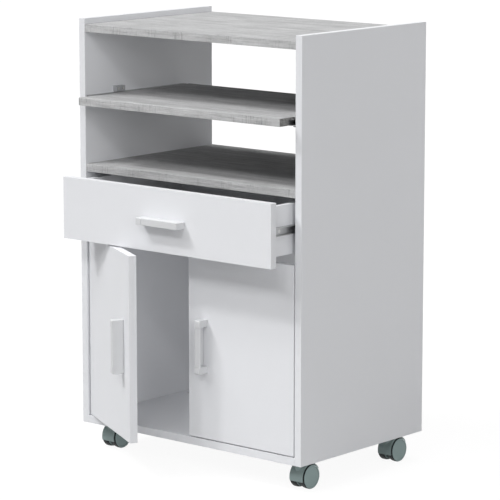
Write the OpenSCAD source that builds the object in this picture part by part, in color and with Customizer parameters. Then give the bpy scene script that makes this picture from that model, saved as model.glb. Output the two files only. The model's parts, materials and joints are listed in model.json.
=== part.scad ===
// Microwave cart: two side panels on four twin-wheel casters, a fixed top, a pull-out
// shelf on ball slides, a fixed shelf, one drawer and a two-door cupboard.
// Millimetres, Z up, front towards -Y. Rest pose: drawer and shelf part-way out,
// left door ajar, right door shut.

/* [Carcass] */
// Overall width over the side panels
cart_w = 600; // [580:1:620]
// Depth of the side panels
cart_d = 400; // [390:1:420]
// Height of the side panels without the casters
side_h = 860; // [850:1:890]
// Thickness of every board
board_t = 16; // [15:0.5:16.5]
// How far the top board sits below the side panels' upper ends
top_drop = 12; // [4:1:20]
// Thickness of the back panel behind the drawer and cupboard
back_t = 3; // [2.5:0.5:4]
// Distance of the back panel from the back edges
back_inset = 10; // [8:1:14]
// Depth of the groove that holds the back panel
groove_d = 6; // [5:0.5:7]

/* [Levels] */
// Underside of the fixed shelf above the side panels' lower ends
shelf_z = 540; // [536:1:548]
// Underside of the pull-out shelf above the side panels' lower ends
pull_z = 683; // [678:1:690]

/* [Pull-out shelf] */
// Depth of the pull-out shelf
pull_d = 345; // [335:1:350]
// How far the shelf stands out in the rest pose
pull_out = 33; // [0:1:60]
// Length of the shelf's slides
pull_rail_len = 300; // [290:1:310]
// Height of the shelf's slide rails
pull_rail_h = 20; // [19:0.5:21]
// Ball diameter in the shelf's slides
pull_ball = 2; // [1.8:0.1:2.2]
// Setback of the shelf's rails from the side panels' front edges
pull_rail_back = 5; // [3:1:10]
// Bare length of the shelf's end in front of its runner
pull_bare = 27; // [24:1:30]

/* [Shelf stops] */
// Length of the stop block
stop_len = 26; // [24:1:30]
// Height of the stop block
stop_h = 12; // [10:0.5:13]
// Thickness of the stop block
stop_t = 10; // [9:0.5:11]
// Distance of the stop block from the side panels' front edges
stop_back = 85; // [70:1:95]
// Gap between the shelf's upper face and the stop block
stop_gap = 1.5; // [1:0.1:2]

/* [Drawer] */
// How far the drawer stands out in the rest pose
drawer_out = 71; // [0:1:110]
// Height of the drawer front
front_h = 129.5; // [126:0.5:134]
// Clear gap round the drawer front and above the doors
front_gap = 2.5; // [2:0.1:3]
// Depth of the drawer box behind its front
box_d = 340; // [330:1:350]
// Height of the drawer box
box_h = 100; // [96:1:102]
// Wall thickness of the drawer box
box_t = 12; // [11:0.5:13]
// Drawer bottom thickness
box_bottom_t = 3; // [2.5:0.5:4]
// Height of the drawer bottom above the box sides' lower edges
box_bottom_z = 6; // [5:0.5:8]
// Height of the drawer's slide rails
box_rail_h = 27; // [26:0.5:28]
// Ball diameter in the drawer's slides
box_ball = 3.2; // [3:0.1:3.4]
// Setback of the drawer's rails from the side panels' front edges
box_rail_back = 18; // [17:1:22]

/* [Slides] */
// Space between a side panel and what slides beside it
slide_gap = 12.7; // [12.6:0.1:13]
// Sheet thickness of the slide parts
sheet = 1.2; // [1:0.1:1.3]
// Running gap round a ball
ball_gap = 0.3; // [0.25:0.05:0.4]
// Length of a ball cage
cage_len = 90; // [80:1:100]
// Ball spacing in a cage
ball_step = 18; // [17:1:19]

/* [Doors] */
// Width of a door
door_w = 278; // [274:1:279]
// Gap between a door and the bottom board
door_gap = 2.5; // [2:0.1:3]
// Gap between a door's hinge edge and the side panel
door_side_gap = 3; // [2.8:0.1:3.2]
// Opening angle of the left door in the rest pose
door_open = 29.5; // [0:0.5:60]
// Distance of the hinge pin from the door's edge
pivot_u = 9.5; // [9.2:0.1:9.8]
// Distance of the hinge pin behind the door's front face
pivot_v = 6.4; // [6.3:0.1:6.6]
// Distance of a hinge from the door's end
hinge_inset = 90; // [80:1:100]
// Radius of a hinge cup
cup_r = 17.5; // [17:0.1:17.8]
// Depth of a hinge cup in the door
cup_d = 12.8; // [12.7:0.1:13]
// Wall thickness of a hinge cup
cup_t = 0.8; // [0.7:0.1:0.9]
// Distance of a cup's centre from the door's edge
cup_u = 21.5; // [21.2:0.1:22]
// Radius of the hinge pin
pin_r = 1; // [0.9:0.1:1.1]

/* [Handles] */
// Length of a handle
handle_len = 112; // [108:1:116]
// Width of a handle
handle_w = 14; // [13:0.5:15]
// How far a handle stands off
handle_d = 25; // [23:0.5:27]
// Length of a handle's solid ends
handle_end = 15; // [13:0.5:16]
// Thickness of the handle's web
handle_web = 3; // [2.5:0.5:3.5]
// Thickness of the handle's front lip
handle_lip = 4; // [3:0.5:5]
// Distance of a door handle from the door's free edge
handle_inset = 37; // [34:1:42]
// Distance of the drawer handle's centre below the front's centre
handle_drop = 2; // [0:0.5:6]

/* [Casters] */
// Height of a caster from floor to mounting plate
caster_h = 60; // [58:0.5:62]
// Radius of a caster wheel
wheel_r = 25; // [24:0.5:25.5]
// Width of a caster over both wheels
caster_w = 40; // [38:0.5:42]
// Distance of a caster's swivel axis from the cart's side
caster_x = 40; // [38:1:44]
// Distance of the front swivel axes from the panels' front edges
caster_front = 46; // [44:1:50]
// Distance of the rear swivel axes from the panels' back edges
caster_rear = 64; // [60:1:70]
// Offset of the wheels' axle behind the swivel axis
trail = 15; // [13:0.5:16]
// Mounting plate side length
plate_w = 42; // [40:0.5:44]
// Mounting plate thickness
plate_t = 2; // [1.8:0.1:2.4]

/* [Hidden] */
$fn = 64;

// cutter overshoot
e = 1;
// growth of a bore round a fixed fastener
snug = 0.05;
// running clearance round a pin that turns
run = 0.06;
white = [0.88, 0.89, 0.9];
grain = [0.72, 0.72, 0.7];
metal = [0.62, 0.63, 0.64];
sage = [0.43, 0.51, 0.5];

// countersunk wood screws
head_r = 3.4;
head_t = 1.8;
shank_r = 1.7;
rail_screw_len = 13;
runner_screw_len = 11;
corner_screw_len = 18;
stop_screw_bite = 10;
rail_screw_end = 20;
cross_l = 1.8;
cross_w = 0.35;
cross_d = 0.8;

// knock-down joints
cam_r = 7.5;
cam_t = 12;
cam_from_side = 24;
cam_from_edge = 50;
cam_y_low = 100;
slot_l = 5;
slot_w = 0.8;
slot_d = 2;
bolt_r = 3;
bolt_bore_r = 4;
bolt_bite = 10;

// drawer and slides
box_rise = 5.3;
cage_shift = 10;
handle_corner_r = 3;
lip_set = 1;
bolt4_r = 2;
bolt4_head_r = 4;
bolt4_head_t = 2.4;
bolt4_bite = 9;

// hinge arms, distances from the pin
eye_r = 2;
arm_h = 12;
arm_t = 2.8;
neck_x = 16;
neck_y = 1.9;
arm_back = 20;
arm_screw_ys = [32, 54];
base_t = 2.4;
base_h = 16;
base_end = 64;
saddle_t = 8;
saddle_y = 38;
saddle_len = 10;
rim_t = 1;
rim_w = 2;

// casters
web_t = 6;
hood_set = 3.5;
hood_wall = 2;
wheel_room = 1;
rim_front = 0.3;
rim_rear = 0.5;
neck_r = 9.5;
boss_r = 8;
stem_r = 5;
rivet_r = 7.5;
rivet_h = 2;
rivet_room_r = 9;
rivet_room_h = 5;
axle_r = 3;
axle_set = 4;
hub_r = 6.5;
tread_t = 3;
face_t = 4.5;
edge_c = 0.8;
dish_d = 0.6;
crown_w = 8;
crown_d = 5;
crown_step = 30;
mouth_t = 2;
plate_corner_r = 5;
plate_screw_in = 5;
gap = 0.3;

half_w = cart_w / 2;
half_d = cart_d / 2;
in_w = half_w - board_t;
z0 = caster_h;
top_z = z0 + side_h - top_drop - board_t;
fixed_z = z0 + shelf_z;
board_zs = [z0, fixed_z, top_z];
pull_base = z0 + pull_z;
back_y = half_d - back_inset - back_t;
groove_gap = 0.2;
tongue = groove_d - groove_gap;

// slides
rail_w = 9.6;
lip_w = 1;
lip_h = 0.7;
runner_x = 4;
cage_x = 2;
cage_w = 6.4;
cage_t = 0.8;
ball_x = 6.4;
reach = in_w - slide_gap;
pull_slide_z = pull_base + board_t + e / 2 - pull_rail_h / 2;
stop_mid = -half_d + stop_back + stop_len / 2;
stop_z = pull_base + board_t + stop_gap;
front_top = fixed_z - front_gap;
front_bottom = front_top - front_h;
box_base = front_bottom + front_h / 2 - box_h / 2 + box_rise;
box_slide_z = box_base + box_h / 2;
front_y = -half_d - drawer_out;
pull_y = -half_d - pull_out;
box_y = front_y + board_t;
// the drawer's slides are as long as its box is deep
box_rail_len = box_d;
box_bottom_top = box_base + box_bottom_z + box_bottom_t;
corner_screw_zs = [box_base + box_h / 4, box_base + box_h * 0.85];
// a cage moves half as far as what it carries, and stays inside its rail at both ends
box_cage_y = -half_d + box_rail_back + box_rail_len / 2 - cage_shift;
pull_cage_y = -half_d + pull_rail_back + pull_rail_len / 2 - cage_shift;

// doors
door_base = z0 + board_t + door_gap;
door_top = front_bottom - door_gap;
door_h = door_top - door_base;
pivot_x = in_w - door_side_gap - pivot_u;
pivot_y = -half_d + pivot_v;
handle_z = door_base + door_h / 2;
hinge_zs = [door_base + hinge_inset, door_top - hinge_inset];
handle_pitch = handle_len - handle_end - lip_set;
// half the height of a cup's opening at the pin, ending inside the wall
pin_half = sqrt((cup_r - cup_t / 2) ^ 2 - (cup_u - pivot_u) ^ 2);

// casters
hood_in = wheel_r + wheel_room;
hood_r = hood_in + hood_wall;
screw_off = plate_w / 2 - plate_screw_in;
caster_ys = [-half_d + caster_front, half_d - caster_rear];

// distance that centres the whole rest pose on the origin
door_reach = sin(door_open) * (door_w - pivot_u - handle_inset)
    + cos(door_open) * (handle_d + pivot_v);
front_reach = max(door_reach - pivot_v, drawer_out + handle_d, pull_out);
frame_y = front_reach / 2;

module box(lo, hi) {
    translate(lo)
        cube([hi[0] - lo[0], hi[1] - lo[1], hi[2] - lo[2]]);
}

module both() {
    children();
    mirror([1, 0, 0])
        children();
}

// countersunk wood screw, head at the origin, point along +X, grown by g
module wood_screw(g, len) {
    rotate([0, 90, 0]) {
        translate([0, 0, -g])
            cylinder(r1 = head_r + g, r2 = shank_r + g, h = head_t + g);
        cylinder(r = shank_r + g, h = len + g);
    }
}

// cross recess that bites into a screw head at the origin, facing -X
module cross_cut() {
    box([-e, -cross_l, -cross_w], [cross_d, cross_l, cross_w]);
    box([-e, -cross_w, -cross_l], [cross_d, cross_w, cross_l]);
}

module recessed_screw(len) {
    difference() {
        wood_screw(0, len);
        cross_cut();
    }
}

// ---- carcass ----

// places on the left side panel of the screws through its rails, facing the panel
module at_rail_screws() {
    for (y = rail_screw_ys(pull_rail_back, pull_rail_len))
        translate([-in_w + sheet, y, pull_slide_z])
            mirror([1, 0, 0])
                children();
    for (y = rail_screw_ys(box_rail_back, box_rail_len))
        translate([-in_w + sheet, y, box_slide_z])
            mirror([1, 0, 0])
                children();
}

function rail_screw_ys(back, len) =
    [for (t = screw_steps(len)) t - half_d + back];

// distances from a slide's front end to its three screws
function screw_steps(len) = [rail_screw_end, len / 2, len - rail_screw_end];

module at_stop_screws() {
    for (s = [-1, 1])
        translate([-in_w + stop_t, stop_mid + s * stop_len / 4, stop_z + stop_h / 2])
            mirror([1, 0, 0])
                children();
}

module at_plate_screws() {
    for (z = hinge_zs)
        for (y = arm_screw_ys)
            translate([-in_w + base_t, pivot_y + y, z])
                mirror([1, 0, 0])
                    children();
}

module bolt_rods(g) {
    for (k = [0, 1, 2])
        for (y = cam_ys(k))
            translate([-in_w - bolt_bite - g, y, board_zs[k] + board_t / 2])
                rotate([0, 90, 0])
                    cylinder(r = bolt_r + g, h = bolt_bite + cam_from_side - cam_r - gap + g);
}

// the lowest board's cams stay clear of the casters' screws
function cam_ys(k) = k == 0 ? [-cam_y_low, cam_y_low]
    : [-half_d + cam_from_edge, half_d - cam_from_edge];

module side_panel() {
    difference() {
        box([-half_w, -half_d, z0], [-in_w, half_d, z0 + side_h]);
        box([-in_w - groove_d, back_y - groove_gap / 2, z0 + board_t - groove_d],
            [-in_w + e, back_y + back_t + groove_gap / 2, fixed_z + groove_d]);
        at_rail_screws()
            wood_screw(snug, rail_screw_len);
        at_stop_screws()
            wood_screw(snug, stop_t + stop_screw_bite);
        at_plate_screws()
            wood_screw(snug, rail_screw_len);
        bolt_rods(snug);
    }
}

module side_left() {
    color(white)
        side_panel();
}

module side_right() {
    color(white)
        mirror([1, 0, 0])
            side_panel();
}

// bores for cams on the face at zc, opening towards side s, and for their bolts
module cam_bores(k, s) {
    zc = board_zs[k];
    deep = cam_t + groove_gap;
    for (y = cam_ys(k))
        both() {
            translate([-in_w + cam_from_side, y, s < 0 ? zc - e : zc + board_t - deep])
                cylinder(r = cam_r + snug, h = deep + e);
            translate([-in_w - e, y, zc + board_t / 2])
                rotate([0, 90, 0])
                    cylinder(r = bolt_bore_r, h = cam_from_side + e);
        }
}

module top_board() {
    color(grain)
        difference() {
            box([-in_w, -half_d, top_z], [in_w, half_d, top_z + board_t]);
            cam_bores(2, -1);
        }
}

module fixed_shelf() {
    color(grain)
        difference() {
            box([-in_w, -half_d, fixed_z], [in_w, half_d, fixed_z + board_t]);
            box([-in_w - e, back_y - groove_gap / 2, fixed_z - e],
                [in_w + e, back_y + back_t + groove_gap / 2, fixed_z + groove_d]);
            cam_bores(1, -1);
        }
}

module bottom_board() {
    color(white)
        difference() {
            box([-in_w, -half_d, z0], [in_w, half_d, z0 + board_t]);
            box([-in_w - e, back_y - groove_gap / 2, z0 + board_t - groove_d],
                [in_w + e, back_y + back_t + groove_gap / 2, z0 + board_t + e]);
            cam_bores(0, 1);
            at_casters() {
                translate([0, 0, z0 - e])
                    cylinder(r = rivet_room_r, h = rivet_room_h + e);
                at_caster_screws()
                    wood_screw(snug, rail_screw_len);
            }
        }
}

module back_panel() {
    color(white)
        box([-in_w - tongue, back_y, z0 + board_t - groove_d],
            [in_w + tongue, back_y + back_t, fixed_z + tongue]);
}

// turned cam of a knock-down joint, flush with the board's face
module cam(s) {
    mirror([0, 0, s < 0 ? 1 : 0])
        difference() {
            translate([0, 0, -cam_t])
                cylinder(r = cam_r, h = cam_t);
            box([-slot_l, -slot_w, -slot_d], [slot_l, slot_w, e]);
            box([-slot_w, -slot_l, -slot_d], [slot_w, slot_l, e]);
        }
}

module cam_locks() {
    color(metal)
        for (k = [0, 1, 2])
            for (y = cam_ys(k))
                both()
                    translate([-in_w + cam_from_side, y, k == 0 ? z0 + board_t : board_zs[k]])
                        cam(k == 0 ? 1 : -1);
}

module cam_bolts() {
    color(metal)
        both()
            bolt_rods(0);
}

// ---- ball slides ----

// rail section: web on the left panel, flanges and lips towards the middle
module rail_section(h) {
    difference() {
        translate([0, -h / 2])
            square([rail_w, h]);
        translate([sheet, -h / 2 + sheet])
            square([rail_w, h - 2 * sheet]);
    }
    for (s = [-1, 1])
        translate([rail_w - lip_w / 2, s * (h / 2 - sheet - lip_h / 2 + e / 4)])
            square([lip_w, lip_h + e / 2], center = true);
}

function runner_h(h, ball) = h - 2 * (sheet + 2 * ball_gap + ball);

module runner_section(h, ball) {
    hr = runner_h(h, ball);
    difference() {
        translate([runner_x, -hr / 2])
            square([slide_gap - runner_x, hr]);
        translate([runner_x - e, -hr / 2 + sheet])
            square([slide_gap - runner_x - sheet + e, hr - 2 * sheet]);
    }
}

// turns a section drawn with x towards the middle and y up into a bar along Y
module bar(y, len) {
    translate([0, y + len, 0])
        rotate([90, 0, 0])
            linear_extrude(height = len)
                children();
}

module rail(h, back, len, z) {
    color(metal)
        difference() {
            translate([-in_w, 0, z])
                bar(-half_d + back, len)
                    rail_section(h);
            at_rail_screws()
                wood_screw(snug, rail_screw_len);
        }
}

module runner(h, ball, y, len, z) {
    color(metal)
        difference() {
            translate([-in_w, 0, z])
                bar(y, len)
                    runner_section(h, ball);
            at_runner_screws(y, len, z)
                wood_screw(snug, runner_screw_len);
        }
}

module at_runner_screws(y, len, z) {
    for (t = screw_steps(len))
        translate([-reach - sheet, y + t, z])
            children();
}

module cage(h, ball, y, z) {
    zb = h / 2 - sheet - ball_gap - ball / 2;
    color(metal)
        translate([-in_w, 0, z]) {
            bar(y - cage_len / 2, cage_len)
                difference() {
                    translate([cage_x, -zb - cage_t / 2])
                        square([cage_w, 2 * zb + cage_t]);
                    translate([cage_x + cage_t, -zb + cage_t / 2])
                        square([cage_w, 2 * zb - cage_t]);
                }
            for (t = [-2, -1, 0, 1, 2])
                for (s = [-1, 1])
                    translate([ball_x, y + t * ball_step, s * zb])
                        sphere(r = ball / 2);
        }
}

module shelf_rail_left() {
    rail(pull_rail_h, pull_rail_back, pull_rail_len, pull_slide_z);
}

module shelf_rail_right() {
    mirror([1, 0, 0])
        shelf_rail_left();
}

module drawer_rail_left() {
    rail(box_rail_h, box_rail_back, box_rail_len, box_slide_z);
}

module drawer_rail_right() {
    mirror([1, 0, 0])
        drawer_rail_left();
}

module rail_screws() {
    color(metal)
        both() {
            at_rail_screws()
                recessed_screw(rail_screw_len);
            at_stop_screws()
                recessed_screw(stop_t + stop_screw_bite);
        }
}

module shelf_stops() {
    color(metal)
        both()
            difference() {
                box([-in_w, stop_mid - stop_len / 2, stop_z],
                    [-in_w + stop_t, stop_mid + stop_len / 2, stop_z + stop_h]);
                at_stop_screws()
                    wood_screw(snug, stop_t + stop_screw_bite);
            }
}

// ---- pull-out shelf ----

module pullout_shelf() {
    color(grain)
        difference() {
            box([-reach, pull_y, pull_base], [reach, pull_y + pull_d, pull_base + board_t]);
            both()
                at_runner_screws(pull_y + pull_bare, pull_rail_len, pull_slide_z)
                    wood_screw(snug, runner_screw_len);
        }
}

module shelf_runner_left() {
    runner(pull_rail_h, pull_ball, pull_y + pull_bare, pull_rail_len, pull_slide_z);
}

module shelf_runner_right() {
    mirror([1, 0, 0])
        shelf_runner_left();
}

module shelf_runner_screws() {
    color(metal)
        both()
            at_runner_screws(pull_y + pull_bare, pull_rail_len, pull_slide_z)
                recessed_screw(runner_screw_len);
}

module shelf_cage_left() {
    cage(pull_rail_h, pull_ball, pull_cage_y - pull_out / 2, pull_slide_z);
}

module shelf_cage_right() {
    mirror([1, 0, 0])
        shelf_cage_left();
}

// ---- drawer ----

module bottom_groove() {
    box([-reach + box_t - tongue - groove_gap, front_y + board_t - tongue - groove_gap,
            box_base + box_bottom_z - groove_gap / 2],
        [reach - box_t + tongue + groove_gap, box_y + box_d + e,
            box_bottom_top + groove_gap / 2]);
}

module handle_bores(g) {
    for (s = [-1, 1])
        translate([s * handle_pitch / 2, 0, 0])
            rotate([90, 0, 0])
                translate([0, 0, -board_t - e])
                    cylinder(r = bolt4_r + g, h = board_t + 2 * e);
}

module drawer_front() {
    color(white)
        difference() {
            box([-in_w + front_gap, front_y, front_bottom],
                [in_w - front_gap, front_y + board_t, front_top]);
            bottom_groove();
            at_drawer_handle()
                handle_bores(gap);
        }
}

module drawer_side_left() {
    color(white)
        difference() {
            box([-reach, box_y, box_base], [-reach + box_t, box_y + box_d, box_base + box_h]);
            bottom_groove();
            at_runner_screws(box_y, box_rail_len, box_slide_z)
                wood_screw(snug, runner_screw_len);
            at_corner_screws()
                wood_screw(snug, box_t + corner_screw_len);
        }
}

module at_corner_screws() {
    for (z = corner_screw_zs)
        translate([-reach, box_y + box_d - box_t / 2, z])
            children();
}

module drawer_side_right() {
    mirror([1, 0, 0])
        drawer_side_left();
}

module drawer_back() {
    color(white)
        difference() {
            box([-reach + box_t, box_y + box_d - box_t, box_bottom_top],
                [reach - box_t, box_y + box_d, box_base + box_h]);
            both()
                at_corner_screws()
                    wood_screw(snug, box_t + corner_screw_len);
        }
}

module drawer_bottom() {
    color(white)
        box([-reach + box_t - tongue, front_y + board_t - tongue, box_base + box_bottom_z],
            [reach - box_t + tongue, box_y + box_d, box_bottom_top]);
}

module drawer_runner_left() {
    runner(box_rail_h, box_ball, box_y, box_rail_len, box_slide_z);
}

module drawer_runner_right() {
    mirror([1, 0, 0])
        drawer_runner_left();
}

module drawer_screws() {
    color(metal)
        both() {
            at_runner_screws(box_y, box_rail_len, box_slide_z)
                recessed_screw(runner_screw_len);
            at_corner_screws()
                recessed_screw(box_t + corner_screw_len);
        }
}

module drawer_cage_left() {
    cage(box_rail_h, box_ball, box_cage_y - drawer_out / 2, box_slide_z);
}

module drawer_cage_right() {
    mirror([1, 0, 0])
        drawer_cage_left();
}

// ---- handles ----

// handle along X, standing off towards -Y, web on the +Z side, finger pocket open below
module handle() {
    half = handle_len / 2;
    color(white)
        difference() {
            translate([0, 0, -handle_w / 2])
                linear_extrude(height = handle_w)
                    handle_outline();
            box([-half + handle_end, -handle_d + handle_lip + lip_set, -handle_w / 2 - e],
                [half - handle_end, e, handle_w / 2 - handle_web]);
            box([-half + handle_end, -handle_d - e, -handle_w / 2 - e],
                [half - handle_end, -handle_d + lip_set, handle_w / 2 + e]);
            for (s = [-1, 1])
                translate([s * handle_pitch / 2, e, 0])
                    rotate([90, 0, 0])
                        cylinder(r = bolt4_r + snug, h = bolt4_bite + 2 * e);
        }
}

module handle_outline() {
    half = handle_len / 2;
    r = handle_corner_r;
    translate([-half, -handle_d + r])
        square([handle_len, handle_d - r]);
    translate([-half + r, -handle_d])
        square([handle_len - 2 * r, handle_d]);
    for (s = [-1, 1])
        translate([s * (half - r), -handle_d + r])
            circle(r = r);
}

// machine screws through the board behind a handle
module handle_screws() {
    color(metal)
        for (s = [-1, 1])
            translate([s * handle_pitch / 2, 0, 0])
                difference() {
                    rotate([90, 0, 0]) {
                        translate([0, 0, -board_t - bolt4_head_t])
                            cylinder(r = bolt4_head_r, h = bolt4_head_t);
                        translate([0, 0, -board_t - e])
                            cylinder(r = bolt4_r, h = board_t + e + bolt4_bite);
                    }
                    translate([0, board_t + bolt4_head_t, 0])
                        rotate([0, 0, -90])
                            cross_cut();
                }
}

module at_drawer_handle() {
    translate([0, front_y, (front_bottom + front_top) / 2 - handle_drop])
        children();
}

module drawer_handle() {
    at_drawer_handle()
        handle();
}

module drawer_handle_screws() {
    at_drawer_handle()
        handle_screws();
}

// ---- doors, drawn for the right side when shut ----

module at_door_handle() {
    translate([in_w - door_side_gap - door_w + handle_inset + handle_w / 2, -half_d, handle_z])
        rotate([0, -90, 0])
            children();
}

module door() {
    color(white)
        difference() {
            box([in_w - door_side_gap - door_w, -half_d, door_base],
                [in_w - door_side_gap, -half_d + board_t, door_top]);
            at_door_handle()
                handle_bores(gap);
            for (z = hinge_zs)
                translate([in_w - door_side_gap - cup_u, -half_d + board_t + e, z])
                    rotate([90, 0, 0])
                        cylinder(r = cup_r + snug, h = cup_d + e);
        }
}

// pressed cup with its rim and cross pin
module cup() {
    translate([in_w - door_side_gap - cup_u, -half_d + board_t, 0])
        rotate([90, 0, 0])
            difference() {
                union() {
                    cylinder(r = cup_r, h = cup_d);
                    translate([0, 0, -rim_t])
                        cylinder(r = cup_r + rim_w, h = rim_t);
                }
                translate([0, 0, -rim_t - e])
                    cylinder(r = cup_r - cup_t, h = cup_d - cup_t + rim_t + e);
            }
    translate([pivot_x, pivot_y, -pin_half])
        cylinder(r = pin_r, h = 2 * pin_half);
}

module cups() {
    color(metal)
        for (z = hinge_zs)
            translate([0, 0, z])
                cup();
}

// arm with its eye round the pin and its plate on the right side panel
module hinge_arm() {
    difference() {
        union() {
            translate([pivot_x, pivot_y, -arm_h / 2])
                cylinder(r = eye_r, h = arm_h);
            box([pivot_x - neck_x, pivot_y - neck_y, -arm_h / 2],
                [pivot_x, pivot_y - neck_y + arm_t, arm_h / 2]);
            box([pivot_x - neck_x, pivot_y - neck_y, -arm_h / 2],
                [pivot_x - neck_x + arm_t, pivot_y + arm_back, arm_h / 2]);
            box([pivot_x - neck_x, pivot_y + arm_back - arm_t, -arm_h / 2],
                [in_w, pivot_y + arm_back, arm_h / 2]);
            box([in_w - base_t, pivot_y + arm_back - arm_t, -base_h / 2],
                [in_w, pivot_y + base_end, base_h / 2]);
            box([in_w - saddle_t, pivot_y + saddle_y, -arm_h / 2],
                [in_w, pivot_y + saddle_y + saddle_len, arm_h / 2]);
        }
        translate([pivot_x, pivot_y, -arm_h])
            cylinder(r = pin_r + run, h = 2 * arm_h);
    }
}

module hinge_arms() {
    color(metal)
        both()
            difference() {
                for (z = hinge_zs)
                    translate([0, 0, z])
                        hinge_arm();
                mirror([1, 0, 0])
                    at_plate_screws()
                        wood_screw(snug, rail_screw_len);
            }
}

module hinge_screws() {
    color(metal)
        both()
            at_plate_screws()
                recessed_screw(rail_screw_len);
}

// swings what is drawn for the right door over to the left one, ajar
module left_ajar() {
    translate([-pivot_x, pivot_y, 0])
        rotate([0, 0, -door_open])
            translate([pivot_x, -pivot_y, 0])
                mirror([1, 0, 0])
                    children();
}

module door_right() {
    door();
}

module door_right_handle() {
    at_door_handle()
        handle();
}

module door_right_screws() {
    at_door_handle()
        handle_screws();
}

module door_right_cups() {
    cups();
}

module door_left() {
    left_ajar()
        door();
}

module door_left_handle() {
    left_ajar()
        door_right_handle();
}

module door_left_screws() {
    left_ajar()
        door_right_screws();
}

module door_left_cups() {
    left_ajar()
        cups();
}

// ---- casters ----

module at_caster(sx, k) {
    translate([sx * (half_w - caster_x), caster_ys[k], 0])
        children();
}

module at_casters() {
    for (sx = [-1, 1])
        for (k = [0, 1])
            at_caster(sx, k)
                children();
}

module at_caster_screws() {
    for (sx = [-1, 1])
        for (sy = [-1, 1])
            translate([sx * screw_off, sy * screw_off, z0 - plate_t])
                rotate([0, -90, 0])
                    children();
}

module caster_plates() {
    color(metal)
        at_casters()
            difference() {
                translate([-plate_w / 2, -plate_w / 2, z0 - plate_t])
                    linear_extrude(height = plate_t)
                        plate_outline();
                translate([0, 0, z0 - plate_t - e])
                    cylinder(r = stem_r + run, h = plate_t + 2 * e);
                at_caster_screws()
                    wood_screw(snug, rail_screw_len);
            }
}

module plate_outline() {
    c = plate_corner_r;
    translate([c, 0])
        square([plate_w - 2 * c, plate_w]);
    translate([0, c])
        square([plate_w, plate_w - 2 * c]);
    for (x = [c, plate_w - c])
        for (y = [c, plate_w - c])
            translate([x, y])
                circle(r = c);
}

module caster_screws() {
    color(metal)
        at_casters()
            at_caster_screws()
                recessed_screw(rail_screw_len);
}

// cylinder along X centred on the axle
module drum(r, x0, x1) {
    translate([x0, trail, wheel_r])
        rotate([0, 90, 0])
            cylinder(r = r, h = x1 - x0);
}

// region above the hood's sloping lower rim
module hood_keep(r) {
    translate([-caster_w, trail, wheel_r])
        rotate([90, 0, 90])
            linear_extrude(height = 2 * caster_w)
                polygon([[-r, -rim_front * r], [r, rim_rear * r], [r, 2 * r], [-r, 2 * r]]);
}

// one moulding: hood over both wheels, web between them, neck, steel stem and axle
module hood() {
    hw = caster_w / 2 - hood_set;
    color(sage) {
        difference() {
            union() {
                intersection() {
                    drum(hood_r, -hw, hw);
                    hood_keep(hood_r + 2);
                }
                translate([0, 0, wheel_r])
                    cylinder(r = neck_r, h = z0 - plate_t - gap - wheel_r);
            }
            drum(hood_in, web_t / 2, caster_w);
            drum(hood_in, -caster_w, -web_t / 2);
        }
        drum(boss_r, -web_t / 2, web_t / 2);
        drum(axle_r, -caster_w / 2 + axle_set, caster_w / 2 - axle_set);
        translate([0, 0, z0 - plate_t - e])
            cylinder(r = stem_r, h = plate_t + 2 * e);
        translate([0, 0, z0 + gap])
            cylinder(r = rivet_r, h = rivet_h);
    }
}

// one wheel on the +X side of the web, turned about the axle
module wheel() {
    w0 = web_t / 2 + 2 * gap;
    w1 = caster_w / 2;
    color(sage)
        translate([0, trail, wheel_r])
            rotate([0, 90, 0])
                rotate_extrude()
                    wheel_section(w0, w1);
}

// half section of a wheel: hub bore at the left, tread at the right, rounded towards the
// web, face on top
module wheel_section(w0, w1) {
    bore = axle_r + run;
    inner = wheel_r - tread_t;
    blind = w1 - axle_set + gap;
    crown = [for (t = [0:crown_step:90])
        [wheel_r - crown_d * (1 - sin(t)), w0 + crown_w * (1 - cos(t))]];
    polygon(concat([[bore, w0], [hub_r, w0], [hub_r, w1 - face_t], [inner, w1 - face_t],
        [inner, w0 + crown_w], [wheel_r - crown_d - mouth_t, w0]], crown,
        [[wheel_r, w1 - 3 * edge_c],
        [wheel_r - edge_c, w1 - edge_c], [wheel_r - 2 * edge_c, w1 - edge_c / 2],
        [wheel_r - 3 * edge_c, w1], [wheel_r - 5 * edge_c, w1], [wheel_r - 6 * edge_c, w1 - dish_d],
        [0, w1 - dish_d], [0, blind], [bore, blind]]));
}

module wheel_in() {
    mirror([1, 0, 0])
        wheel();
}

module hood_front_left() {
    at_caster(-1, 0)
        hood();
}

module wheel_front_left_out() {
    at_caster(-1, 0)
        wheel_in();
}

module wheel_front_left_in() {
    at_caster(-1, 0)
        wheel();
}

module hood_front_right() {
    at_caster(1, 0)
        hood();
}

module wheel_front_right_out() {
    at_caster(1, 0)
        wheel();
}

module wheel_front_right_in() {
    at_caster(1, 0)
        wheel_in();
}

module hood_rear_left() {
    at_caster(-1, 1)
        hood();
}

module wheel_rear_left_out() {
    at_caster(-1, 1)
        wheel_in();
}

module wheel_rear_left_in() {
    at_caster(-1, 1)
        wheel();
}

module hood_rear_right() {
    at_caster(1, 1)
        hood();
}

module wheel_rear_right_out() {
    at_caster(1, 1)
        wheel();
}

module wheel_rear_right_in() {
    at_caster(1, 1)
        wheel_in();
}

module placed() {
    translate([0, frame_y, 0])
        children();
}

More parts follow.
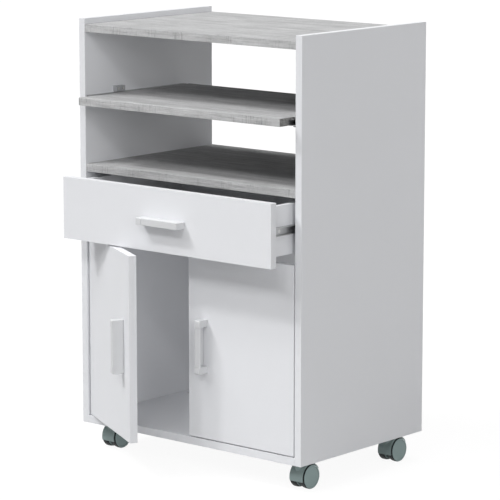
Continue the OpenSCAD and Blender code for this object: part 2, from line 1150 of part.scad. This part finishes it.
placed() side_left();
placed() side_right();
placed() top_board();
placed() fixed_shelf();
placed() bottom_board();
placed() back_panel();
placed() cam_locks();
placed() cam_bolts();
placed() shelf_rail_left();
placed() shelf_rail_right();
placed() drawer_rail_left();
placed() drawer_rail_right();
placed() rail_screws();
placed() shelf_stops();
placed() hinge_arms();
placed() hinge_screws();
placed() caster_plates();
placed() caster_screws();
placed() pullout_shelf();
placed() shelf_runner_left();
placed() shelf_runner_right();
placed() shelf_runner_screws();
placed() shelf_cage_left();
placed() shelf_cage_right();
placed() drawer_front();
placed() drawer_side_left();
placed() drawer_side_right();
placed() drawer_back();
placed() drawer_bottom();
placed() drawer_handle();
placed() drawer_handle_screws();
placed() drawer_runner_left();
placed() drawer_runner_right();
placed() drawer_screws();
placed() drawer_cage_left();
placed() drawer_cage_right();
placed() door_left();
placed() door_left_handle();
placed() door_left_screws();
placed() door_left_cups();
placed() door_right();
placed() door_right_handle();
placed() door_right_screws();
placed() door_right_cups();
placed() hood_front_left();
placed() wheel_front_left_out();
placed() wheel_front_left_in();
placed() hood_front_right();
placed() wheel_front_right_out();
placed() wheel_front_right_in();
placed() hood_rear_left();
placed() wheel_rear_left_out();
placed() wheel_rear_left_in();
placed() hood_rear_right();
placed() wheel_rear_right_out();
placed() wheel_rear_right_in();
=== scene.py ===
"""Looks of the microwave cart: melamine boards, grained shelves, ball slides, moulded pulls and casters.

Everything is in metres in the part's own frame: floor at z = 0, front towards -y, right towards +x.
"""
import json
import math

import bpy
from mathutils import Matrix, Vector

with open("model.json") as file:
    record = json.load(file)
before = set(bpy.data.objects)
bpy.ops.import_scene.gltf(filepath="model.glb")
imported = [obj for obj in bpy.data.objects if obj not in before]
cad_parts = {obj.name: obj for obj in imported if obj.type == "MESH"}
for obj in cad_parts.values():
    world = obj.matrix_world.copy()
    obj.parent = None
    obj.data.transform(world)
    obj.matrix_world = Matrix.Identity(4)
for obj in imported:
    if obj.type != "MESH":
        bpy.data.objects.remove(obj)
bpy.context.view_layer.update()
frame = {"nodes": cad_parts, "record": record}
nodes = frame["nodes"]

# ---- colours, as linear light ----

WHITE_BOARD = (0.796, 0.804, 0.828)
WHITE_MOULDING = (0.668, 0.675, 0.688)
BACK_SHEET = (0.800, 0.805, 0.815)
LAMINATE_PALE = (0.618, 0.620, 0.624)
LAMINATE_GREY = (0.258, 0.259, 0.262)
CHIPBOARD_PALE = (0.340, 0.337, 0.332)
CHIPBOARD_DARK = (0.130, 0.129, 0.128)
CASTER_GREY = (0.256, 0.330, 0.325)
WHEEL_GREY = (0.315, 0.405, 0.400)
# near black: the treads' dark rubber, darkened further as painted shade for the gap under the hood and the
# dark outline round the wheels' sides
TREAD_RUBBER_AND_SHADE = (0.012, 0.016, 0.017)
STOP_GREY = (0.400, 0.408, 0.425)
RAIL_ZINC = (0.420, 0.425, 0.430)
SCREW_ZINC = (0.560, 0.560, 0.550)
FLOOR_PALE = (0.450, 0.450, 0.450)
FLOOR_SHADE = (0.100, 0.100, 0.100)
SKY_WHITE = (1.000, 1.000, 1.000)

# ---- the laminate's grain: sizes along x, y and z ----

FINE_STREAK = (0.085, 0.0026, 0.0026)
HAIR_STREAK = (0.040, 0.0012, 0.0012)
BROAD_STREAK = (0.280, 0.010, 0.010)
CEMENT_CLOUD = (0.090, 0.040, 0.040)
CEMENT_GRIT = (0.0020, 0.0020, 0.0020)
DARK_PORE = (0.015, 0.0012, 0.0012)
SAW_TICK = (0.0016, 0.030, 0.030)
TICK_CLUSTER = (0.045, 0.060, 0.060)
WOOD_CHIP = (0.0030, 0.0045, 0.0012)
GRAIN_DRIFT = (0.160, 0.030, 0.030)
DRIFT_REACH = 0.007

# ---- the laminate's grain: the two levels of noise between which each mark comes in ----

STREAK_LEVELS = (0.30, 0.70)
BROAD_LEVELS = (0.32, 0.68)
CLOUD_LEVELS = (0.30, 0.70)
PORE_LEVELS = (0.58, 0.72)
TICK_LEVELS = (0.54, 0.66)
CLUSTER_LEVELS = (0.48, 0.62)
CHIP_LEVELS = (0.34, 0.66)

# ---- the laminate's grain: its tone, as a share of the pale colour, and what each mark adds ----

MIDDLE_TONE = 0.64
FINE_SHARE = 0.45
BROAD_SHARE = 0.30
HAIR_SHARE = 0.25
GRIT_SHARE = 0.35
TICKS_ON_TOP = 0.3
PORE_DEPTH = 0.8
LAMINATE_ROUGHNESS = (0.66, 0.54)

# ---- how squarely a surface faces a way to count as an edge band, a board's end or a wheel's side ----

EDGE_BAND_FACING = (0.50, 0.90)
BOARD_END_FACING = (0.75, 0.95)
# a wheel's faces turned less squarely sideways than this take the dark tread colour, which is partly painted
# shade
WHEEL_SIDE_FACING = (0.70, 0.85)

# ---- the other skins ----

SKIN_CLOUD = 0.090
SKIN_FLECK = 0.004
CLOUD_SHARE = 0.7
SKIN_ROUGHNESS_SWING = 0.12
ZINC_SMUDGE = 0.022
SPANGLES_PER_METRE = 260.0
DRAW_STRETCH = (1.0, 0.02, 1.0)
LINE_SHARE = 0.50
SMUDGE_SHARE = 0.35
SPANGLE_SHARE = 0.15
ZINC_LEVELS = (0.25, 0.75)
ZINC_TONES = (0.84, 1.12)
ZINC_ROUGHNESS_SWING = 0.25

# ---- camera, fitted to the cart's edges in the photograph ----

CAMERA_PLACE = (3.622, -4.176, 1.421)
CAMERA_TURN = math.radians(40.51)
CAMERA_DIP = math.radians(9.99)
CAMERA_LENS = 195.0
SENSOR = 36.0


# ---- small helpers for node trees ----

def feed(tree, socket, value):
    """Links a socket to another node's output, or sets it to a plain value."""
    if isinstance(value, bpy.types.NodeSocket):
        tree.links.new(value, socket)
    else:
        socket.default_value = value


def put(tree, kind, settings=None, **sockets):
    """Adds a node, its settings and its inputs. An input is a name, with _ for a space, or i and a place."""
    node = tree.nodes.new(kind)
    for key, value in (settings or {}).items():
        setattr(node, key, value)
    for key, value in sockets.items():
        place = int(key[1:]) if key[1:].isdigit() else key.replace("_", " ")
        feed(tree, node.inputs[place], value)
    return node


def reckon(tree, operation, a, b=0.0, c=0.0):
    """One sum on plain numbers."""
    return put(tree, "ShaderNodeMath", {"operation": operation}, i0=a, i1=b, i2=c).outputs[0]


def centre(tree, value):
    """Moves a value that lies about one half so that it lies about nought."""
    return reckon(tree, "SUBTRACT", value, 0.5)


def weigh(tree, base, *shares):
    """A base value with others added to it, each given with its weight."""
    for value, weight in shares:
        base = reckon(tree, "MULTIPLY_ADD", value, weight, base)
    return base


def blend_colours(tree, share, first, second, way="MIX"):
    """Mixes two colours, first at share 0 and second at share 1."""
    settings = {"data_type": "RGBA", "blend_type": way}
    return put(tree, "ShaderNodeMix", settings, i0=share, i6=first, i7=second).outputs[2]


def shade(tree, colour, tone):
    """Multiplies a colour by a plain number."""
    grey = put(tree, "ShaderNodeCombineColor", i0=tone, i1=tone, i2=tone).outputs[0]
    return blend_colours(tree, 1.0, colour, grey, "MULTIPLY")


def stretch(tree, where, scales):
    """Multiplies a place by three scales, along x, y and z."""
    return put(tree, "ShaderNodeVectorMath", {"operation": "MULTIPLY"}, i0=where, i1=scales).outputs[0]


def speckle(tree, where, size, detail=2.0, roughness=0.5):
    """Noise with features about size across, or with three sizes along x, y and z."""
    sizes = size if isinstance(size, tuple) else (size, size, size)
    spread = stretch(tree, where, tuple(1.0 / s for s in sizes))
    return put(tree, "ShaderNodeTexNoise", Vector=spread, Scale=1.0, Detail=detail,
               Roughness=roughness).outputs[0]


def spread_range(tree, value, levels, to_low=0.0, to_high=1.0):
    """Maps the span between two levels to to_low..to_high, held at both ends."""
    low, high = levels
    return put(tree, "ShaderNodeMapRange", {"clamp": True}, i0=value, i1=low, i2=high, i3=to_low,
               i4=to_high).outputs[0]


def as_input(value):
    """A number as it is, or a colour with its fourth value."""
    return value if isinstance(value, float) else (*value, 1.0)


def effect(name, **inputs):
    """A node group with inputs, given with first values, that puts out a colour, roughness and height."""
    tree = bpy.data.node_groups.new(name, "ShaderNodeTree")
    for key, value in inputs.items():
        kind = "NodeSocketFloat" if isinstance(value, float) else "NodeSocketColor"
        socket = tree.interface.new_socket(name=key.replace("_", " "), in_out="INPUT", socket_type=kind)
        socket.default_value = as_input(value)
    results = {"Colour": "NodeSocketColor", "Roughness": "NodeSocketFloat", "Height": "NodeSocketFloat"}
    for label, kind in results.items():
        tree.interface.new_socket(name=label, in_out="OUTPUT", socket_type=kind)
    return tree, tree.nodes.new("NodeGroupInput").outputs


def finish_effect(tree, **results):
    """Links the results to the group's outputs and hands the group back."""
    put(tree, "NodeGroupOutput", **results)
    return tree


def use_effect(tree, group, **values):
    """Places a node group in a material with its own values."""
    given = {key: as_input(value) for key, value in values.items()}
    return put(tree, "ShaderNodeGroup", {"node_tree": group}, **given).outputs


def start_material(name, **constants):
    """A material with one Principled shader. Its constants are set on the shader's own sockets."""
    material = bpy.data.materials.new(name)
    material.use_nodes = True
    shader = material.node_tree.nodes["Principled BSDF"]
    for key, value in constants.items():
        shader.inputs[key.replace("_", " ")].default_value = value
    return material, material.node_tree, shader


def dress_shader(tree, shader, colour, roughness, height, bump, depth):
    """Feeds the shader a colour, a roughness and a height, as a bump of that strength and depth."""
    relief = put(tree, "ShaderNodeBump", Strength=bump, Distance=depth, Height=height).outputs[0]
    tree.links.new(colour, shader.inputs["Base Color"])
    tree.links.new(roughness, shader.inputs["Roughness"])
    tree.links.new(relief, shader.inputs["Normal"])


# ---- effects that several finishes share ----

def pearl_skin():
    """The pressed pearl of melamine and the spark texture of mouldings: small bumps and faint clouds."""
    tree, given = effect("pearl skin", Colour=(0.8, 0.8, 0.8), Pearl_size=0.0012, Cloudiness=0.02,
                         Roughness=0.4)
    place = tree.nodes.new("ShaderNodeTexCoord").outputs["Object"]
    share = reckon(tree, "DIVIDE", 1.0, given["Pearl size"])
    pearl = put(tree, "ShaderNodeTexNoise", Vector=place, Scale=share, Detail=2.0, Roughness=0.6).outputs[0]
    cloud = speckle(tree, place, SKIN_CLOUD, detail=3.0)
    fleck = speckle(tree, place, SKIN_FLECK)
    mix = weigh(tree, 0.0, (cloud, CLOUD_SHARE), (fleck, 1.0 - CLOUD_SHARE))
    tone = weigh(tree, 1.0, (centre(tree, mix), given["Cloudiness"]))
    roughness = weigh(tree, given["Roughness"], (centre(tree, fleck), SKIN_ROUGHNESS_SWING))
    return finish_effect(tree, Colour=shade(tree, given["Colour"], tone), Roughness=roughness, Height=pearl)


def let_drift(tree, place):
    """Lets the grain wander a little off its straight run along x."""
    drift = reckon(tree, "MULTIPLY", speckle(tree, place, GRAIN_DRIFT), DRIFT_REACH)
    wander = put(tree, "ShaderNodeCombineXYZ", i0=0.0, i1=drift, i2=drift).outputs[0]
    return put(tree, "ShaderNodeVectorMath", {"operation": "ADD"}, i0=place, i1=wander).outputs[0]


def saw_ticks(tree, place, forwards):
    """Clusters of short dark ticks across the grain, strongest on a board's front and rear edges."""
    tick = spread_range(tree, speckle(tree, place, SAW_TICK, roughness=0.6), TICK_LEVELS)
    cluster = spread_range(tree, speckle(tree, place, TICK_CLUSTER), CLUSTER_LEVELS)
    ticks = reckon(tree, "MULTIPLY", tick, cluster)
    return reckon(tree, "MULTIPLY", ticks, weigh(tree, TICKS_ON_TOP, (forwards, 1.0 - TICKS_ON_TOP)))


def laminate_grain():
    """Wood-and-cement decor: fine streaks along x, cloudy cement, dark pores and clusters of saw ticks.

    The band on the front and rear edges is a little paler. The ends, which the decor doesn't cover, are
    mottled chipboard.
    """
    tree, given = effect("laminate grain", Pale=(0.7, 0.7, 0.7), Grey=(0.3, 0.3, 0.3),
                         Chip_pale=(0.3, 0.3, 0.3), Chip_dark=(0.1, 0.1, 0.1),
                         Streaks=0.4, Clouds=0.3, Pores=0.3, Ticks=0.3, Edge_band=1.1)
    coordinates = tree.nodes.new("ShaderNodeTexCoord").outputs
    facing = put(tree, "ShaderNodeSeparateXYZ", Vector=coordinates["Normal"]).outputs
    sideways = reckon(tree, "ABSOLUTE", facing["X"])
    forwards = reckon(tree, "ABSOLUTE", facing["Y"])
    place = let_drift(tree, coordinates["Object"])
    fine = speckle(tree, place, FINE_STREAK, detail=3.0, roughness=0.62)
    hair = speckle(tree, place, HAIR_STREAK, roughness=0.6)
    broad = speckle(tree, place, BROAD_STREAK, detail=3.0, roughness=0.55)
    streaks = weigh(tree, 0.0, (spread_range(tree, broad, BROAD_LEVELS), BROAD_SHARE),
                    (spread_range(tree, fine, STREAK_LEVELS), FINE_SHARE),
                    (spread_range(tree, hair, STREAK_LEVELS), HAIR_SHARE))
    cloud = spread_range(tree, speckle(tree, place, CEMENT_CLOUD, detail=4.0, roughness=0.6), CLOUD_LEVELS)
    grit = speckle(tree, place, CEMENT_GRIT)
    pore = spread_range(tree, speckle(tree, place, DARK_PORE, roughness=0.6), PORE_LEVELS)
    pores = reckon(tree, "MULTIPLY", pore, given["Pores"])
    ticks = reckon(tree, "MULTIPLY", saw_ticks(tree, place, forwards), given["Ticks"])
    tone = weigh(tree, MIDDLE_TONE, (centre(tree, streaks), given["Streaks"]),
                 (centre(tree, cloud), given["Clouds"]), (centre(tree, grit), GRIT_SHARE),
                 (pores, -1.0), (ticks, -1.0))
    tone = put(tree, "ShaderNodeClamp", i0=tone).outputs[0]
    decor = blend_colours(tree, tone, given["Grey"], given["Pale"])
    decor = shade(tree, decor, spread_range(tree, forwards, EDGE_BAND_FACING, 1.0, given["Edge band"]))
    chip = speckle(tree, coordinates["Object"], WOOD_CHIP, detail=3.0, roughness=0.6)
    chips = spread_range(tree, chip, CHIP_LEVELS)
    chipboard = blend_colours(tree, chips, given["Chip dark"], given["Chip pale"])
    colour = blend_colours(tree, spread_range(tree, sideways, BOARD_END_FACING), decor, chipboard)
    roughness = spread_range(tree, tone, (0.0, 1.0), *LAMINATE_ROUGHNESS)
    height = weigh(tree, fine, (pores, -PORE_DEPTH))
    return finish_effect(tree, Colour=colour, Roughness=roughness, Height=height)


def drawn_zinc():
    """Zinc-plated sheet: fine draw lines along y, soft smudges and a little spangle."""
    tree, given = effect("drawn zinc", Colour=(0.5, 0.5, 0.5), Line_width=0.0006, Roughness=0.35)
    place = tree.nodes.new("ShaderNodeTexCoord").outputs["Object"]
    drawn = stretch(tree, place, DRAW_STRETCH)
    share = reckon(tree, "DIVIDE", 1.0, given["Line width"])
    line = put(tree, "ShaderNodeTexNoise", Vector=drawn, Scale=share, Detail=2.0, Roughness=0.6).outputs[0]
    smudge = speckle(tree, place, ZINC_SMUDGE, detail=3.0)
    spangle = put(tree, "ShaderNodeTexVoronoi", Vector=place, Scale=SPANGLES_PER_METRE).outputs["Distance"]
    mix = weigh(tree, 0.0, (line, LINE_SHARE), (smudge, SMUDGE_SHARE), (spangle, SPANGLE_SHARE))
    tone = spread_range(tree, mix, ZINC_LEVELS, *ZINC_TONES)
    roughness = weigh(tree, given["Roughness"], (centre(tree, smudge), ZINC_ROUGHNESS_SWING))
    return finish_effect(tree, Colour=shade(tree, given["Colour"], tone), Roughness=roughness, Height=line)


PEARL = pearl_skin()
GRAIN = laminate_grain()
ZINC = drawn_zinc()


# ---- finishes ----

def skin_finish(name, colour, pearl, cloud, rough, bump, depth, **constants):
    """A white or grey surface with pearl skin: boards, painted sheet, mouldings and caster plastic."""
    material, tree, shader = start_material(name, **constants)
    look = use_effect(tree, PEARL, Colour=colour, Pearl_size=pearl, Cloudiness=cloud, Roughness=rough)
    dress_shader(tree, shader, look["Colour"], look["Roughness"], look["Height"], bump, depth)
    return material


def laminate_finish():
    """The grey decor of the top board and the two shelves, without any mirror-like shine."""
    material, tree, shader = start_material("grained laminate", Specular_IOR_Level=0.0)
    look = use_effect(tree, GRAIN, Pale=LAMINATE_PALE, Grey=LAMINATE_GREY, Chip_pale=CHIPBOARD_PALE,
                      Chip_dark=CHIPBOARD_DARK, Streaks=0.95, Clouds=0.24, Pores=0.38, Ticks=0.48,
                      Edge_band=1.03)
    dress_shader(tree, shader, look["Colour"], look["Roughness"], look["Height"], bump=0.35, depth=0.0002)
    return material


def wheel_finish():
    """Caster wheels: the sides a little paler than the hood, the treads dark rubber made darker still as
    painted shade, which also paints the gap under the hood and a shaded outline round each side.
    """
    material, tree, shader = start_material("caster wheel", Specular_IOR_Level=0.25)
    side = use_effect(tree, PEARL, Colour=WHEEL_GREY, Pearl_size=0.0008, Cloudiness=0.10, Roughness=0.40)
    # the treads' dark rubber, made darker as painted shade for the gap under the hood
    tread_and_shade = use_effect(tree, PEARL, Colour=TREAD_RUBBER_AND_SHADE, Pearl_size=0.0006, Cloudiness=0.20, Roughness=0.50)
    normal = tree.nodes.new("ShaderNodeTexCoord").outputs["Normal"]
    sideways = reckon(tree, "ABSOLUTE", put(tree, "ShaderNodeSeparateXYZ", Vector=normal).outputs["X"])
    # faces turned less squarely sideways get the dark colour: the treads, and the rounded rims of the sides
    # as a painted shaded outline
    side_share = spread_range(tree, sideways, WHEEL_SIDE_FACING)
    colour = blend_colours(tree, side_share, tread_and_shade["Colour"], side["Colour"])
    step = reckon(tree, "SUBTRACT", side["Roughness"], tread_and_shade["Roughness"])
    roughness = weigh(tree, tread_and_shade["Roughness"], (side_share, step))
    dress_shader(tree, shader, colour, roughness, side["Height"], bump=0.30, depth=0.00006)
    return material


def zinc_finish(name, colour, line, rough):
    """Zinc-plated steel, with draw lines of that width."""
    material, tree, shader = start_material(name, Metallic=1.0)
    look = use_effect(tree, ZINC, Colour=colour, Line_width=line, Roughness=rough)
    dress_shader(tree, shader, look["Colour"], look["Roughness"], look["Height"], bump=0.25, depth=0.00006)
    return material


melamine = skin_finish("white melamine", WHITE_BOARD, pearl=0.0011, cloud=0.018, rough=0.46, bump=0.30,
                       depth=0.00005, Specular_IOR_Level=0.2)
moulding = skin_finish("white moulding", WHITE_MOULDING, pearl=0.0007, cloud=0.012, rough=0.42, bump=0.25,
                       depth=0.00004, Specular_IOR_Level=0.3)
hardboard = skin_finish("white hardboard", BACK_SHEET, pearl=0.0030, cloud=0.030, rough=0.55, bump=0.30,
                        depth=0.00008, Specular_IOR_Level=0.3)
caster_plastic = skin_finish("caster plastic", CASTER_GREY, pearl=0.0008, cloud=0.10, rough=0.42, bump=0.30,
                             depth=0.00006)
stop_plastic = skin_finish("stop plastic", STOP_GREY, pearl=0.0008, cloud=0.06, rough=0.50, bump=0.30,
                           depth=0.00005)
caster_wheel = wheel_finish()
laminate = laminate_finish()
rail_zinc = zinc_finish("zinc rails", RAIL_ZINC, line=0.0006, rough=0.38)
screw_zinc = zinc_finish("zinc fastenings", SCREW_ZINC, line=0.0004, rough=0.30)

FINISH_OF_SLOT = {"white_board": melamine, "grain_board": laminate, "back_sheet": hardboard,
                  "white_plastic": moulding, "grey_plastic": caster_plastic, "metal": screw_zinc}
SLIDE_WORDS = ("rail_", "_runner_", "_cage_")


def finish_of(name, slot):
    """The finish of a node's slot, but for the few nodes that differ from the rest of their slot."""
    if name == "shelf_stops":
        return stop_plastic
    if name.startswith("wheel_"):
        return caster_wheel
    if any(word in name for word in SLIDE_WORDS) and "screws" not in name:
        return rail_zinc
    return FINISH_OF_SLOT[slot]


# ---- eased edges ----

BOARD_EASE = 0.0005
HANDLE_EASE = 0.0009
EASE_OF_SLOT = {"white_board": BOARD_EASE, "grain_board": BOARD_EASE, "white_plastic": HANDLE_EASE}
SHARP_CORNER = math.radians(40)
FLAT_FACE = math.radians(0.5)
SAME_PLACE = 0.000005


def ease_edges(piece, width):
    """Joins the split corners of a solid's mesh and rounds its sharp edges a little."""
    join = piece.modifiers.new("join corners", "WELD")
    join.merge_threshold = SAME_PLACE
    whole = piece.modifiers.new("whole faces", "DECIMATE")
    whole.decimate_type = "DISSOLVE"
    whole.angle_limit = FLAT_FACE
    ease = piece.modifiers.new("ease edges", "BEVEL")
    ease.width = width
    ease.segments = 2
    ease.limit_method = "ANGLE"
    ease.angle_limit = SHARP_CORNER
    ease.use_clamp_overlap = False
    ease.harden_normals = False
    piece.modifiers.new("flat faces", "WEIGHTED_NORMAL").keep_sharp = False


def dress_nodes():
    """Gives each solid its finish, and boards and handles their eased edges."""
    for part in frame["record"]["subparts"]:
        piece = nodes[part["node"]]
        for slot in piece.material_slots:
            slot.material = finish_of(part["node"], part["material_slot"])
        if part["material_slot"] in EASE_OF_SLOT:
            ease_edges(piece, EASE_OF_SLOT[part["material_slot"]])


# ---- studio ----

FLOOR_REACH = 12.0
FLOOR_GLOW = 0.93

# Each lamp: name, turn from straight in front towards the right, height above the floor and width, these
# three in degrees, and strength.
STUDIO_LAMPS = (("left_strip_low", -31, 41, 5, 0.43), ("left_strip_middle", -45, 50, 5, 0.94),
                ("left_strip_high", -56, 54, 5, 0.24), ("high_softbox", -15, 62, 24, 0.77),
                ("roof_softbox", 180, 84, 10, 0.84), ("right_strip_front", 20, 38, 6, 0.34),
                ("right_strip_side", 35, 35, 6, 0.28), ("side_softbox", 60, 30, 24, 0.25),
                ("low_softbox", 60, 8, 24, 0.38), ("low_strip", 65, 10, 6, 0.14),
                ("rear_side_softbox", 110, 8, 20, 0.14), ("back_strip", 180, 1, 2, 0.70))
SKY_FILL = 0.115
CUPBOARD_FILL_PLACE = (0.05, 0.09, 0.25)
CUPBOARD_FILL_RADIUS = 0.07
CUPBOARD_FILL_POWER = 0.33


def seen_share(tree):
    """1 for what the camera sees, by itself or in something shiny or clear, and 0 for light on the cart."""
    path = tree.nodes.new("ShaderNodeLightPath").outputs
    mirrored = reckon(tree, "MAXIMUM", path["Is Glossy Ray"], path["Is Transmission Ray"])
    return reckon(tree, "MAXIMUM", path["Is Camera Ray"], mirrored)


def lay_floor():
    """White floor: a camera or a shiny surface sees it white, and it keeps a faint shadow."""
    corners = [(x * FLOOR_REACH, y * FLOOR_REACH, 0.0) for x, y in ((-1, -1), (1, -1), (1, 1), (-1, 1))]
    mesh = bpy.data.meshes.new("studio floor")
    mesh.from_pydata(corners, [], [(0, 1, 2, 3)])
    floor = bpy.data.objects.new("studio_floor", mesh)
    bpy.context.scene.collection.objects.link(floor)
    material = bpy.data.materials.new("studio floor")
    material.use_nodes = True
    tree = material.node_tree
    tree.nodes.clear()
    paint = put(tree, "ShaderNodeBsdfDiffuse", Color=(*FLOOR_PALE, 1.0)).outputs[0]
    faint = put(tree, "ShaderNodeBsdfDiffuse", Color=(*FLOOR_SHADE, 1.0)).outputs[0]
    glow = put(tree, "ShaderNodeEmission", Strength=FLOOR_GLOW).outputs[0]
    bright = put(tree, "ShaderNodeAddShader", i0=faint, i1=glow).outputs[0]
    surface = put(tree, "ShaderNodeMixShader", i0=seen_share(tree), i1=paint, i2=bright).outputs[0]
    put(tree, "ShaderNodeOutputMaterial", Surface=surface)
    mesh.materials.append(material)


def hang_lamp(name, turn, height, width, strength):
    """A far lamp that looks width degrees wide from the cart."""
    lamp = bpy.data.lights.new(name, "SUN")
    lamp.energy = strength
    lamp.angle = math.radians(width)
    box = bpy.data.objects.new(name, lamp)
    turn = math.radians(turn)
    height = math.radians(height)
    level = math.cos(height)
    towards = Vector((math.sin(turn) * level, -math.cos(turn) * level, math.sin(height)))
    box.rotation_euler = towards.to_track_quat("Z", "Y").to_euler()
    bpy.context.scene.collection.objects.link(box)


def hang_cupboard_lamp():
    """A weak bulb inside the cupboard, which the photograph shows lighter than the far lamps leave it."""
    lamp = bpy.data.lights.new("cupboard_fill", "POINT")
    lamp.energy = CUPBOARD_FILL_POWER
    lamp.shadow_soft_size = CUPBOARD_FILL_RADIUS
    bulb = bpy.data.objects.new("cupboard_fill", lamp)
    bulb.location = CUPBOARD_FILL_PLACE
    bpy.context.scene.collection.objects.link(bulb)


def raise_sky():
    """A faint light from all round, and white for the background and for what the cart mirrors."""
    world = bpy.data.worlds.new("studio sky")
    world.use_nodes = True
    bpy.context.scene.world = world
    tree = world.node_tree
    tree.nodes.clear()
    sky = put(tree, "ShaderNodeBackground", Color=(*SKY_WHITE, 1.0), Strength=SKY_FILL).outputs[0]
    white = put(tree, "ShaderNodeBackground", Color=(*SKY_WHITE, 1.0), Strength=1.0).outputs[0]
    both = put(tree, "ShaderNodeMixShader", i0=seen_share(tree), i1=sky, i2=white).outputs[0]
    put(tree, "ShaderNodeOutputWorld", Surface=both)


def place_camera():
    """The camera of the photograph."""
    data = bpy.data.cameras.new("photo view")
    data.sensor_width = SENSOR
    data.sensor_height = SENSOR
    data.sensor_fit = "HORIZONTAL"
    data.lens = CAMERA_LENS
    camera = bpy.data.objects.new("photo_view", data)
    camera.location = CAMERA_PLACE
    camera.rotation_euler = (math.pi / 2 - CAMERA_DIP, 0.0, CAMERA_TURN)
    bpy.context.scene.collection.objects.link(camera)
    bpy.context.scene.camera = camera


dress_nodes()
lay_floor()
for studio_lamp in STUDIO_LAMPS:
    hang_lamp(*studio_lamp)
hang_cupboard_lamp()
raise_sky()
place_camera()
bpy.context.scene.view_settings.view_transform = "Standard"
